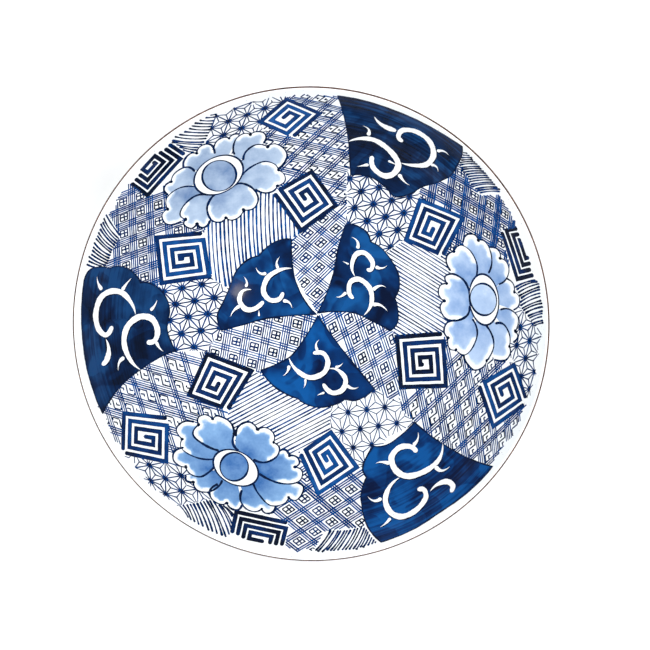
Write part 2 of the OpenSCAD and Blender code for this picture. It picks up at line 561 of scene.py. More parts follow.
class Paint:
    """Brushwork that becomes one mesh. Each stroke or wash is a thin closed solid of its own."""

    def __init__(self, face=INSIDE):
        self.face = face
        self.flat, self.lift, self.tone, self.edge, self.faces = [], [], [], [], []
        self.count = 0

    def add(self, flat, lift, tone, edge, faces):
        """Takes in one solid: its points, what is kept on them, and its faces."""
        self.faces += [tuple(int(i) + self.count for i in face) for face in faces]
        self.count += len(flat)
        for store, values in ((self.flat, flat), (self.lift, lift), (self.tone, tone), (self.edge, edge)):
            store.append(np.asarray(values, float))

    def stroke(self, path, width, tone, lift=LAYER["line"], start="round", end="round", wobble=0.06):
        """A brush stroke along a path. width and tone are numbers, or functions of 0 to 1."""
        path = np.asarray(path, float)
        path = path[np.concatenate([[True], lengths(np.diff(path, axis=0)) > 1e-4])]
        if len(path) < 2:
            return
        run = distance_along(path)
        length = run[-1]
        if length < 0.3:
            return
        wide = width if callable(width) else (lambda t: width + 0 * t)
        deep = tone if callable(tone) else (lambda t: tone + 0 * t)
        tip = min(0.5 * float(np.max(wide(np.linspace(0, 1, 9)))), 0.45 * length)
        spots = self._spots(run, length, tip)
        at = at_distances(path, run, spots)
        share = np.clip(spots / length, 0.0, 1.0)
        half = 0.5 * wide(share) * (1 + wobble * self._waver(spots))
        half = half * self._end(spots, tip, start) * self._end(length - spots, tip, end)
        half = np.maximum(half, 0.03)
        before = unit(np.vstack([at[1] - at[0], np.diff(at, axis=0)]))
        after = unit(np.vstack([np.diff(at, axis=0), at[-1] - at[-2]]))
        way = unit(before + after)
        mitre = np.maximum((way * after).sum(1), 0.55)
        aside = np.stack([-way[:, 1], way[:, 0]], 1) * (half / mitre)[:, None]
        count = len(at)
        lift += dice.uniform(-0.004, 0.004)
        flat = np.concatenate([at + aside, at, at - aside, at])
        heights = np.repeat([lift, lift + 0.006, lift, ROOT], count)
        edges = np.repeat([1.0, 0.0, 1.0, 0.0], count)
        self.add(flat, heights, np.tile(deep(share), 4), edges, self._tube(count))

    @staticmethod
    def _spots(run, length, tip):
        """Distances at which a stroke has a section: at its own points and close together at its tips."""
        near = tip * np.array([0.0, 0.08, 0.3, 0.62, 1.0])
        spots = np.unique(np.concatenate([run, near, length - near]).round(4))
        gaps = np.nonzero(np.diff(spots) > LONGEST)[0]
        spots = np.sort(np.concatenate([spots, 0.5 * (spots[gaps] + spots[gaps + 1])]))
        keep = np.concatenate([[True], np.diff(spots) > FINEST])
        return np.clip(spots[keep], 0.0, length)

    @staticmethod
    def _tube(count):
        """Faces of a four-sided bar with closed ends."""
        ring = [0, count, 2 * count, 3 * count]
        faces = []
        for side in range(4):
            a, b = ring[side], ring[(side + 1) % 4]
            faces += [(a + i, b + i, b + i + 1, a + i + 1) for i in range(count - 1)]
        faces.append(tuple(reversed(ring)))
        faces.append(tuple(start + count - 1 for start in ring))
        return faces

    @staticmethod
    def _waver(spots):
        """Slow change of width along a hand-drawn stroke."""
        phase = dice.uniform(0, WAVE)
        return np.sin(spots * 0.55 + phase) + 0.6 * np.sin(spots * 1.7 + 2 * phase)

    @staticmethod
    def _end(away, tip, kind):
        """Share of the width at a distance from one end."""
        if kind == "taper":
            return np.clip(away / (7 * tip), 0, 1) ** 0.6
        if kind == "blunt":
            return np.ones_like(away)
        return np.sqrt(np.clip(1 - (1 - np.clip(away / tip, 0, 1)) ** 2, 0, 1))

    def dot(self, spot, size, tone, lift=LAYER["blot"]):
        """A blot where the brush stopped."""
        sides = 12
        turn = np.arange(sides) * 2 * math.pi / sides
        uneven = 1 + 0.12 * np.sin(2 * turn + dice.uniform(0, WAVE))
        ring = np.array(spot) + 0.5 * size * uneven[:, None] * np.stack([np.cos(turn), np.sin(turn)], 1)
        flat = np.vstack([ring, [spot], [spot]])
        lifts = np.array([lift] * sides + [lift + 0.01, ROOT])
        faces = [(i, (i + 1) % sides, sides) for i in range(sides)]
        faces += [((i + 1) % sides, i, sides + 1) for i in range(sides)]
        self.add(flat, lifts, np.full(sides + 2, tone), np.array([1.0] * sides + [0, 0]), faces)

    def wash(self, border, lift, tone, grid=2.2, border_width=1.8):
        """Fills a closed outline. tone is a number or a function of the points."""
        border = np.asarray(border, float)
        low, high = border.min(0), border.max(0)
        columns = np.arange(low[0], high[0], grid)
        rows = np.arange(low[1], high[1], grid * 0.87)
        inner = np.array([(x + grid / 2 * (k % 2), y) for k, y in enumerate(rows) for x in columns])
        inner = inner[within(inner, border)]
        if len(inner):
            inner = inner[away_from(inner, border) > 0.45 * grid]
        flat = np.vstack([border, inner]) if len(inner) else border
        loop = [(i, (i + 1) % len(border)) for i in range(len(border))]
        made = delaunay_2d_cdt([Vector(p) for p in flat], loop, [], 1, 1e-5)
        flat = np.array([tuple(p) for p in made[0]])
        top = [tuple(face) for face in made[2]]
        count = len(flat)
        sides = {}
        for face in top:
            for k in range(len(face)):
                a, b = face[k], face[(k + 1) % len(face)]
                if (b, a) in sides:
                    del sides[(b, a)]
                else:
                    sides[(a, b)] = True
        faces = top + [tuple(i + count for i in reversed(face)) for face in top]
        faces += [(b, a, a + count, b + count) for a, b in sides]
        tones = tone(flat) if callable(tone) else np.full(count, float(tone))
        edge = 1 - np.clip(away_from(flat, border) / border_width, 0, 1)
        lift += dice.uniform(-0.002, 0.002)
        self.add(np.vstack([flat, flat]), np.repeat([lift, ROOT], count), np.tile(tones, 2),
                 np.tile(edge, 2), faces)

    def finish(self, name, material, slot="painted_glaze"):
        """Builds the mesh. Its shading follows the glaze, as underglaze paint does."""
        flat = np.concatenate(self.flat)
        points, normals = self.face.place(flat, np.concatenate(self.lift))
        mesh = bpy.data.meshes.new(name)
        faces = self.faces if self.face.side < 0 else [tuple(reversed(f)) for f in self.faces]
        mesh.from_pydata(points.tolist(), [], faces)
        mesh.polygons.foreach_set("use_smooth", [True] * len(mesh.polygons))
        reach = np.hypot(flat[:, 0], flat[:, 1])
        along = np.arctan2(flat[:, 1], flat[:, 0]) * RIM_R
        stores = (("tone", np.concatenate(self.tone)), ("edge", np.concatenate(self.edge)),
                  ("reach", reach), ("along", along))
        for store, values in stores:
            layer = mesh.attributes.new(store, "FLOAT", "POINT")
            layer.data.foreach_set("value", np.asarray(values, np.float32))
        mesh.normals_split_custom_set_from_vertices(normals.tolist())
        show(name, mesh, material, slot)


# ---------------------------------------------------------------- plane geometry

def within(points, border):
    """Which points lie inside a closed outline."""
    x, y = points[:, 0], points[:, 1]
    inside = np.zeros(len(points), bool)
    last = border[-1]
    for this in border:
        if this[1] != last[1]:
            crosses = (this[1] > y) != (last[1] > y)
            at = (last[0] - this[0]) * (y - this[1]) / (last[1] - this[1]) + this[0]
            inside ^= crosses & (x < at)
        last = this
    return inside


def away_from(points, border):
    """Distance of each point from a closed outline."""
    best = np.full(len(points), 1e9)
    for a, b in zip(border, np.roll(border, -1, axis=0)):
        way = b - a
        share = np.clip(((points - a) @ way) / max(way @ way, 1e-12), 0, 1)
        best = np.minimum(best, lengths(points - a - share[:, None] * way))
    return best


def smooth(points, step=0.9):
    """A smooth curve through points, in steps of about a set length."""
    points = np.asarray(points, float)
    if len(points) < 3:
        count = max(2, int(np.hypot(*(points[-1] - points[0])) / step) + 1)
        return points[0] + np.linspace(0, 1, count)[:, None] * (points[-1] - points[0])
    gaps = lengths(np.diff(points, axis=0)) ** 0.7
    time = np.concatenate([[0], np.cumsum(gaps)])
    slope = np.zeros_like(points)
    slope[1:-1] = (points[2:] - points[:-2]) / (time[2:] - time[:-2])[:, None]
    slope[0] = 2 * (points[1] - points[0]) / gaps[0] - slope[1]
    slope[-1] = 2 * (points[-1] - points[-2]) / gaps[-1] - slope[-2]
    curve = []
    for k in range(len(points) - 1):
        span = gaps[k]
        count = max(2, int(np.hypot(*(points[k + 1] - points[k])) / step) + 1)
        t = (np.arange(count) / count)[:, None]
        curve.append(
            (2 * t ** 3 - 3 * t ** 2 + 1) * points[k] + (t ** 3 - 2 * t ** 2 + t) * span * slope[k]
            + (3 * t ** 2 - 2 * t ** 3) * points[k + 1] + (t ** 3 - t ** 2) * span * slope[k + 1]
        )
    curve.append(points[-1:])
    return np.concatenate(curve)


def chained(stretches, step=0.9):
    """Smooth stretches with a corner between them. Each starts on the last point of the one before."""
    curves, start = [], []
    for stretch in stretches:
        curve = smooth(start + list(stretch), step)
        curves.append(curve if not curves else curve[1:])
        start = [stretch[-1]]
    return np.concatenate(curves)


def closed_outline(stretches, step=0.9):
    """A closed outline of smooth stretches, whose last point joins its first."""
    curve = chained(list(stretches) + [[stretches[0][0]]], step)
    return curve[:-1]


def ellipse(centre, along, across, tilt, count=72):
    """Closed outline of an ellipse, with its first axis tilted up from X by degrees."""
    turn = np.arange(count) * 2 * math.pi / count
    c, s = math.cos(math.radians(tilt)), math.sin(math.radians(tilt))
    x, y = along * np.cos(turn), across * np.sin(turn)
    return np.array(centre) + np.stack([x * c - y * s, x * s + y * c], 1)


def polar(degrees, length):
    """A step of a length in a direction, in degrees up from X."""
    return np.array([math.cos(math.radians(degrees)), math.sin(math.radians(degrees))]) * length


# ---------------------------------------------------------------- layout of the painting

# Scalloped panels at the rim. Each list is a smooth stretch, and a corner parts two stretches.
PANELS = {
    "outer_panel_1": [
        [(-165, 32), (-160, 40), (-151, 41), (-144, 39)],
        [(-139, 40), (-134, 39), (-128, 36), (-123, 31), (-120, 26)],
        [(-113, 25), (-106, 20), (-101, 13), (-99, 5), (-100, 0)],
        [(-101, -7), (-99, -15), (-95, -23)],
        [(-105, -26), (-121, -35), (-134, -44), (-144, -54), (-152, -65)],
        [(-157, -54), (-163, -34), (-166, -12), (-167, 10), (-165, 32)],
    ],
    "outer_panel_2": [
        [(20, 166), (42, 162), (65, 154), (87, 144), (110, 131)],
        [(108, 122), (102, 111), (98, 105), (93, 101)],
        [(84, 96), (76, 93), (69, 88)],
        [(60, 84), (54, 84), (50, 89), (44, 94)],
        [(36, 98), (25, 98)],
        [(25, 112), (25, 127), (23, 147), (20, 166)],
    ],
    "outer_panel_3": [
        [(69, -71), (81, -80), (95, -88), (112, -96), (133, -102)],
        [(125, -112), (112, -124), (95, -136), (76, -149), (52, -159)],
        [(43, -150), (38, -141), (35, -130)],
        [(34, -121), (37, -110)],
        [(34, -103), (37, -94), (41, -88)],
        [(50, -87), (60, -80), (69, -71)],
    ],
}

# Three scalloped fans that meet in the well
FANS = {
    "inner_fan_1": [
        [(0, 0), (-8, 10), (-14, 24), (-16, 38), (-16, 51)],
        [(-23, 51), (-31, 47), (-38, 40)],
        [(-46, 37), (-53, 30), (-57, 20)],
        [(-62, 9), (-66, 0), (-63, -10)],
        [(-50, -7), (-35, -3), (-18, -1), (0, 0)],
    ],
    "inner_fan_2": [
        [(1, 1), (13, 2), (26, 1), (38, -4), (50, -10)],
        [(55, -4), (55, 5), (53, 12)],
        [(56, 20), (55, 30), (47, 43)],
        [(43, 47), (37, 50)],
        [(35, 56), (30, 60), (24, 62), (20, 61)],
        [(15, 45), (12, 29), (7, 14), (1, 1)],
    ],
    "inner_fan_3": [
        [(1, -1), (9, -12), (19, -25), (30, -38), (40, -49)],
        [(34, -54), (27, -57), (20, -56)],
        [(13, -60), (3, -62), (-6, -60), (-12, -56)],
        [(-20, -53), (-29, -47), (-37, -37)],
        [(-26, -33), (-17, -28), (-9, -18), (1, -1)],
    ],
}

# Curls left white inside the panels and fans
CURLS = {
    "outer_panel_1": [
        [(-124, 4), (-127, 12), (-134, 20), (-143, 22), (-151, 18), (-155, 7), (-153, -4), (-147, -9),
         (-142, -3)],
        [(-121, -35), (-129, -27), (-133, -15), (-130, -4), (-121, 2), (-112, 0), (-108, -8),
         (-110, -15), (-116, -16)],
        [(-147, -12), (-145, -20), (-147, -27), (-151, -30)],
    ],
    "outer_panel_2": [
        [(25, 125), (34, 128), (44, 127), (54, 119), (59, 109), (55, 101), (48, 99), (41, 105), (41, 114)],
        [(61, 110), (70, 109), (80, 111), (86, 120), (84, 131), (75, 138), (65, 138), (61, 132), (64, 128)],
        [(45, 148), (50, 141), (60, 137)],
    ],
    "outer_panel_3": [
        [(91, -86), (89, -97), (80, -105), (67, -109), (58, -105), (54, -96), (59, -89), (67, -88),
         (72, -92)],
        [(61, -110), (54, -117), (52, -127), (57, -136), (66, -139), (76, -134), (82, -125), (80, -119),
         (75, -119)],
        [(85, -120), (90, -115), (97, -113), (102, -116), (101, -121)],
    ],
    "inner_fan_1": [
        [(-16, 31), (-24, 30), (-32, 25), (-35, 16), (-31, 10), (-25, 10), (-22, 15)],
        [(-43, 17), (-49, 16), (-51, 10), (-47, 4), (-41, 4), (-35, 9)],
    ],
    "inner_fan_2": [
        [(26, 26), (24, 33), (27, 41), (33, 42), (38, 36), (37, 31), (34, 31)],
        [(32, 0), (37, 8), (36, 18), (29, 24), (23, 22), (22, 15), (25, 11)],
    ],
    "inner_fan_3": [
        [(-18, -29), (-13, -37), (-4, -42), (5, -39), (8, -32), (5, -26), (-2, -26)],
        [(9, -36), (15, -37), (20, -43), (18, -50), (11, -52), (5, -46)],
    ],
}

# Short comma strokes round the curls, from their thin end to their thick end
COMMAS = {
    "outer_panel_1": [
        [(-154, 34), (-153, 29), (-150, 24)], [(-127, 30), (-131, 26), (-134, 22)],
        [(-108, 13), (-110, 9), (-113, 6)], [(-104, -23), (-107, -20), (-109, -16)],
        [(-138, -35), (-137, -29), (-133, -26)],
    ],
    "outer_panel_2": [
        [(36, 139), (40, 136), (39, 131)], [(30, 105), (38, 107)], [(66, 93), (62, 96), (59, 101)],
        [(98, 121), (94, 124), (89, 123)], [(88, 106), (87, 110), (83, 111)], [(58, 108), (52, 111)],
    ],
    "outer_panel_3": [
        [(72, -78), (72, -83), (69, -87)], [(43, -100), (47, -99), (53, -100)],
        [(39, -124), (44, -127), (49, -125)], [(50, -147), (54, -144), (57, -140)],
        [(98, -102), (92, -105), (87, -102)],
    ],
    "inner_fan_1": [
        [(-24, 39), (-26, 35), (-25, 31)], [(-40, 32), (-37, 28), (-33, 28)], [(-48, 26), (-46, 22),
         (-47, 19)],
        [(-57, -1), (-55, 3), (-51, 6)], [(-38, 3), (-38, -1)], [(-16, 4), (-18, 8), (-22, 9)],
    ],
    "inner_fan_2": [
        [(24, 53), (28, 50), (28, 45)], [(18, 36), (22, 34)], [(48, 34), (44, 32), (40, 33)],
        [(47, 19), (43, 20), (38, 17)], [(48, 3), (43, 7), (38, 7)], [(13, 12), (16, 12), (20, 15)],
    ],
    "inner_fan_3": [
        [(2, -17), (0, -20), (1, -24)], [(-22, -41), (-19, -38), (-18, -34)], [(-8, -49), (-7, -46),
         (-7, -43)],
        [(18, -32), (16, -34), (13, -35)], [(29, -48), (25, -49), (21, -47)], [(1, -54), (3, -53), (6, -52)],
    ],
}

# Four corners of every square, starting where its brush stroke starts, and how deep its ink is
SQUARES = [
    ([(-13, 127), (8, 149), (-17, 164), (-38, 142)], 0.56),
    ([(-29, 85), (-10, 55), (16, 75), (-1, 102)], 0.82),
    ([(-75, 59), (-110, 59), (-106, 23), (-70, 26)], 0.62),
    ([(-88, 120), (-113, 143), (-141, 112), (-116, 89)], 0.92),
    ([(114, -44), (129, -75), (159, -55), (144, -27)], 0.60),
    ([(88, -9), (53, -13), (57, -49), (92, -47)], 0.80),
    ([(88, 42), (106, 73), (72, 84), (60, 52)], 0.62),
    ([(133, 67), (145, 31), (177, 42), (165, 78)], 0.88),
    ([(-101, -68), (-136, -64), (-139, -95), (-103, -102)], 0.66),
    ([(-59, -65), (-41, -37), (-74, -24), (-88, -54)], 0.84),
    ([(-11, -93), (3, -124), (32, -103), (11, -77)], 0.58),
    ([(-16, -143), (-55, -135), (-62, -168), (-23, -176)], 0.90),
]

# Petals of the three flowers, from the one at the back to the one in front
FLOWERS = [
    {
        "name": "flower_1",
        "disc": ((-64.8, 100.2), 11.8, 12.2, 30),
        "ring": ((-65.3, 100.9), 18.0, 14.2, 30),
        "petals": [
            [[(-69, 121), (-67, 128), (-62, 131), (-58, 130)], [(-55, 133), (-51, 133)]],
            [[(-90, 109), (-90, 115), (-86, 120), (-81, 120)], [(-79, 125), (-74, 127), (-70, 125),
             (-68, 118)]],
            [[(-82, 105), (-86, 109), (-91, 109), (-97, 105), (-99, 99)], [(-103, 97), (-104, 93),
             (-101, 89)]],
            [[(-79, 92), (-88, 94), (-96, 92), (-102, 86), (-101, 78)],
             [(-105, 74), (-103, 68), (-98, 66), (-91, 68)]],
            [[(-72, 86), (-81, 86), (-89, 80), (-92, 73), (-88, 69)], [(-89, 65), (-84, 62), (-80, 65)],
             [(-77, 62), (-73, 63), (-71, 67)]],
            [[(-54, 116), (-55, 122), (-53, 129), (-48, 133), (-43, 132)],
             [(-39, 134), (-34, 133), (-32, 129), (-34, 124)]],
            [[(-48, 111), (-46, 118), (-39, 123), (-31, 121)], [(-26, 123), (-20, 119), (-18, 112),
             (-24, 103)]],
            [[(-49, 99), (-43, 105), (-34, 109), (-27, 107), (-24, 102)], [(-20, 98), (-20, 93), (-25, 90)],
             [(-28, 86), (-34, 85), (-40, 88)]],
            [[(-58, 90), (-50, 93), (-42, 89), (-38, 81), (-41, 74), (-48, 73)], [(-51, 68), (-56, 66),
             (-60, 68)],
             [(-64, 65), (-70, 67), (-73, 75), (-71, 82), (-66, 87)]],
        ],
        "tones": ((178, 196, 218), (98, 126, 168)), "white": 1.4, "heart": 0.74,
    },
    {
        "name": "flower_2",
        "disc": ((117.8, 15.2), 11.1, 10.4, 93),
        "ring": ((118.3, 15.2), 17.8, 11.6, 93),
        "petals": [
            [[(136, 32), (142, 29), (143, 23)], [(147, 20), (147, 14), (142, 10)]],
            [[(124, 53), (129, 53), (132, 50), (132, 46)], [(137, 44), (139, 38), (136, 31), (130, 27)]],
            [[(122, 34), (125, 42), (124, 51), (120, 57), (115, 57)], [(112, 61), (106, 60), (103, 54)]],
            [[(112, 30), (113, 40), (108, 49), (101, 52), (96, 47)], [(91, 44), (90, 39), (93, 33)]],
            [[(131, 9), (139, 10), (146, 5), (144, -5)], [(146, -9), (142, -13)]],
            [[(127, -1), (134, -1), (139, -8), (139, -16)], [(140, -21), (136, -26), (127, -26)]],
            [[(119, -2), (125, -10), (126, -18), (121, -27)], [(118, -32), (111, -34), (105, -29),
             (103, -24)]],
            [[(109, 1), (113, -8), (110, -18), (104, -24), (97, -21)], [(92, -20), (91, -13)],
             [(88, -9), (90, -3), (97, -1)]],
            [[(107, 18), (103, 27), (95, 31), (89, 29), (90, 24)], [(85, 22), (84, 16), (88, 12)],
             [(85, 7), (89, 0), (97, -1), (105, 3), (107, 10)]],
        ],
        "tones": ((182, 204, 234), (100, 140, 196)), "white": 2.2, "heart": 0.46,
    },
    {
        "name": "flower_3",
        "disc": ((-55.4, -103.4), 9.9, 10.2, -28),
        "ring": ((-54.3, -104.2), 16.8, 11.7, -28),
        "petals": [
            [[(-50, -131), (-53, -135), (-58, -134), (-61, -130)], [(-66, -131), (-72, -127),
             (-73, -121), (-67, -116)]],
            [[(-26, -131), (-28, -136), (-33, -137), (-36, -134)],
             [(-41, -136), (-47, -134), (-51, -128), (-50, -120)]],
            [[(-12, -114), (-7, -117), (-8, -123), (-12, -127), (-17, -125)],
             [(-21, -130), (-30, -131), (-38, -123), (-42, -115)]],
            [[(-24, -92), (-20, -91), (-17, -95)], [(-12, -96), (-10, -100), (-13, -103)],
             [(-8, -106), (-9, -112), (-15, -115), (-26, -114), (-38, -108)]],
            [[(-54, -82), (-52, -75), (-45, -72), (-39, -77)], [(-33, -76), (-28, -80), (-28, -86)],
             [(-24, -90), (-26, -96), (-34, -100), (-42, -98)]],
            [[(-90, -110), (-90, -114), (-85, -115)], [(-82, -121), (-74, -122), (-67, -118), (-64, -113)]],
            [[(-91, -90), (-98, -93), (-99, -99), (-95, -103), (-90, -104)],
             [(-87, -109), (-80, -111), (-74, -108), (-69, -103)]],
            [[(-83, -72), (-91, -72), (-96, -77), (-92, -84)], [(-93, -90), (-87, -95), (-78, -98),
             (-69, -98)]],
            [[(-66, -92), (-76, -88), (-84, -81), (-80, -74)], [(-80, -69), (-75, -67), (-70, -70)],
             [(-66, -68), (-58, -72), (-55, -80)], [(-56, -87), (-52, -92)]],
        ],
        "tones": ((128, 168, 212), (40, 92, 158)), "white": 1.8, "heart": 0.80,
    },
]

# Fields of fine line work, as generous outlines: panels, squares and flowers lie over their edges
STRIPES = {
    "stripes_1": {
        "border": [(-75, 62), (-70, 26), (-58, 18), (-40, 20), (-16, 51), (-10, 55), (-29, 85), (-36, 92),
                   (-60, 95), (-78, 85)],
        "slope": -88, "pitch": 2.75, "width": 1.34, "bend": 0.020, "tone": 0.56,
    },
    "stripes_2": {
        "border": [(46, 42), (60, 52), (88, 42), (96, 54), (112, 20), (100, -2), (88, -9), (53, -13),
                   (50, -8),
                   (40, 0), (40, 36)],
        "slope": -29, "pitch": 2.35, "width": 1.00, "bend": 0.004, "tone": 0.68,
    },
    "stripes_3": {
        "border": [(-41, -37), (-30, -42), (-10, -48), (12, -57), (11, -77), (-11, -93), (-30, -102),
                   (-55, -85), (-62, -68), (-59, -65)],
        "slope": 28, "pitch": 2.55, "width": 1.06, "bend": 0.002, "tone": 0.66,
    },
}

# start is the middle of one cell. rows and columns are the steps to its neighbours, as (degrees, mm)
LATTICES = {
    "square_lattice_1": {
        "border": [(1, 0), (-25, 45), (-16, 51), (-10, 55), (16, 75), (22, 76), (24, 62), (30, 40)],
        "start": (2.0, 31.4), "rows": (45.2, 14.4), "columns": (141.7, 11.0), "width": 0.86,
    },
    "square_lattice_2": {
        "border": [(1, -1), (20, 10), (50, -6), (53, -13), (57, -49), (58, -53), (50, -56), (42, -51),
                   (32, -50), (12, -30)],
        "start": (26.6, -15.4), "rows": (32.0, 12.2), "columns": (-70.1, 13.9), "width": 0.88,
    },
    "square_lattice_3": {
        "border": [(1, 0), (-20, 5), (-63, -5), (-64, -11), (-74, -24), (-41, -37), (-32, -44), (-8, -28)],
        "start": (-26.8, -13.8), "rows": (-16.5, 12.9), "columns": (-99.8, 11.4), "width": 0.86,
    },
    "square_lattice_4": {
        "border": [(-131, 104), (-149, 84), (-145, 78), (-136, 63), (-142, 52), (-147, 41), (-140, 30),
                   (-110, 20), (-106, 23), (-110, 59), (-75, 59), (-80, 78), (-100, 100), (-116, 89)],
        "start": (-120.0, 66.8), "rows": (13.5, 13.4), "columns": (94.1, 12.3), "width": 1.00,
    },
    "square_lattice_5": {
        "border": [(70, 84), (80, 102), (106, 115), (111, 105), (112, 100), (118, 94), (121, 92), (142, 97),
                   (151, 87), (158, 70), (133, 67), (141, 38), (120, 40), (95, 44), (88, 42)],
        "start": (100.7, 84.7), "rows": (-24.1, 13.0), "columns": (77.5, 11.7), "width": 1.26,
    },
    "square_lattice_6": {
        "border": [(-16, -143), (-20, -172), (0, -172), (9, -151), (14, -149), (38, -147), (42, -130),
                   (38, -104), (32, -103), (3, -124), (-10, -95), (-24, -108), (-36, -130), (-30, -140)],
        "start": (4.2, -134.4), "rows": (34.5, 13.8), "columns": (-40.2, 13.0), "width": 1.10,
        "most_lines": 3,
    },
}

FRETS = {
    "key_fret_1": {
        "border": [(22, 76), (25, 98), (30, 130), (20, 172), (-8, 172), (-17, 164), (-38, 142), (-32, 133),
                   (-60, 110), (-29, 85), (16, 75)],
        "start": (-2.9, 115.3), "rows": (-16.4, 13.6), "columns": (46.6, 13.6),
    },
    "key_fret_2": {
        "border": [(57, -49), (88, -9), (100, -8), (128, -26), (144, -27), (152, -50), (168, -57), (152, -92),
                   (137, -108), (100, -104), (69, -71), (59, -63), (58, -53)],
        "start": (78.9, -52.5), "rows": (-75.0, 14.1), "columns": (43.0, 14.0),
    },
    "key_fret_3": {
        "border": [(-96, -23), (-74, -24), (-59, -65), (-62, -80), (-90, -92), (-92, -104), (-104, -102),
                   (-139, -95), (-152, -87), (-162, -64), (-140, -40), (-110, -24)],
        "start": (-116.5, -52.8), "rows": (-16.8, 15.9), "columns": (106.5, 15.2),
    },
}

STARS = {
    "hemp_leaf_1": {
        "border": [(22, 100), (35, 112), (62, 96), (73, 86), (60, 52), (47, 43), (33, 40), (20, 60),
                   (22, 76)],
        "start": (39.7, 77.3), "rows": (15.4, 13.3), "columns": (-48.7, 12.0), "weight": 1.22,
    },
    "hemp_leaf_2": {
        "border": [(11, -56), (10, -75), (32, -103), (42, -100), (50, -82), (70, -72), (59, -63), (58, -54),
                   (50, -56), (42, -49), (20, -48)],
        "start": (30.9, -76.2), "rows": (9.0, 12.8), "columns": (-52.7, 14.0), "weight": 0.86,
    },
    "hemp_leaf_3": {
        "border": [(-106, 23), (-70, 26), (-58, 18), (-50, 8), (-60, -5), (-64, -11), (-74, -24), (-96, -23),
                   (-106, -10), (-110, 20)],
        "start": (-81.5, 10.7), "rows": (6.6, 13.5), "columns": (-47.2, 12.9), "weight": 1.22,
    },
    "hemp_leaf_4": {
        "border": [(-32, 133), (-55, 116), (-75, 127), (-72, 137), (-67, 156), (-62, 172), (-20, 172),
                   (-17, 164), (-38, 142)],
        "start": (-45.3, 149.7), "rows": (20.4, 13.8), "columns": (72.3, 12.3), "weight": 1.10,
    },
    "hemp_leaf_5": {
        "border": [(144, -27), (134, -18), (140, 4), (147, 13), (153, 8), (157, 5), (162, -1), (174, 3),
                   (174, -25), (166, -57), (159, -55)],
        "start": (156.6, -10.6), "rows": (20.1, 12.4), "columns": (-45.9, 12.1), "weight": 1.10,
    },
    "hemp_leaf_6": {
        "border": [(-139, -95), (-104, -102), (-92, -104), (-80, -108), (-72, -127), (-82, -130),
                   (-96, -133), (-112, -140), (-150, -95)],
        "start": (-105.5, -112.6), "rows": (10.6, 12.1), "columns": (88.4, 11.8), "weight": 1.10,
    },
}

# Hatching that runs out to the rim: one guide for where its strokes start, one for their rim ends
COMBS = {
    "rim_hatch_1": ([(-67, 154), (-72, 137), (-76, 128), (-84, 120)],
                    [(-72, 153), (-82, 148), (-90, 141), (-100, 134), (-97, 131), (-90, 123)], 14),
    "rim_hatch_2": ([(143, 27), (147, 20), (148, 13), (153, 8), (162, -1)],
                    [(160, 34), (168, 30), (170, 20), (171, 10), (170, 2)], 15),
    "rim_hatch_3": ([(-97, -133), (-82, -130), (-73, -128), (-60, -134)],
                    [(-91, -141), (-83, -148), (-72, -154), (-62, -158), (-56, -147), (-54, -139)], 15),
    "rim_hatch_4": ([(-136, 63), (-139, 57), (-142, 52), (-146, 42), (-152, 40)],
                    [(-148, 82), (-154, 68), (-159, 54), (-163, 43)], 15),
    "rim_hatch_5": ([(109, 128), (106, 118), (106, 110), (111, 105), (112, 100), (117, 95), (120, 93)],
                    [(113, 127), (120, 121), (127, 113), (134, 106), (141, 97)], 19),
    "rim_hatch_6": ([(13, -149), (27, -149), (38, -147), (44, -154), (49, -159)],
                    [(2, -166), (14, -166), (27, -165), (38, -163), (49, -159)], 17),
}

# How far from the well the painting reaches, and how far the free hatching does
PAINT_LIMIT = 166.0
COMB_LIMIT = 169.0


# ---------------------------------------------------------------- which field lies where

class Zones:
    """A fine map of the flat frame: which field shows at each place, or none under a motif."""

    CELL = 0.2
    HALF = 176.0

    def __init__(self):
        side = int(2 * self.HALF / self.CELL)
        self.map = np.zeros((side, side), np.int16)
        self.names = [None]

    def fill(self, border, number):
        """Writes a number into every cell of the map inside a closed outline."""
        border = np.asarray(border, float)
        low = np.floor((border.min(0) + self.HALF) / self.CELL).astype(int)
        high = np.ceil((border.max(0) + self.HALF) / self.CELL).astype(int)
        low = np.clip(low, 0, self.map.shape[0] - 1)
        high = np.clip(high, 1, self.map.shape[0])
        x = (np.arange(low[0], high[0]) + 0.5) * self.CELL - self.HALF
        y = (np.arange(low[1], high[1]) + 0.5) * self.CELL - self.HALF
        grid = np.stack([a.ravel() for a in np.meshgrid(x, y, indexing="ij")], 1)
        inside = within(grid, border).reshape(len(x), len(y))
        window = self.map[low[0]:high[0], low[1]:high[1]]
        window[inside] = number

    def add_field(self, name, border):
        self.names.append(name)
        self.fill(border, len(self.names) - 1)

    def cover(self, border):
        self.fill(border, -1)

    def value(self, points):
        """The number that the map holds at each point."""
        cells = np.floor((points + self.HALF) / self.CELL).astype(int)
        cells = np.clip(cells, 0, self.map.shape[0] - 1)
        return self.map[cells[:, 0], cells[:, 1]]

    def shows(self, name, points):
        """Whether a field shows at each point."""
        return self.value(points) == self.names.index(name)

    def hidden(self, points):
        """Whether a motif lies over each point."""
        return self.value(points) < 0


RUN_STEP = 0.25
TUCK = 4
THINNED = 8


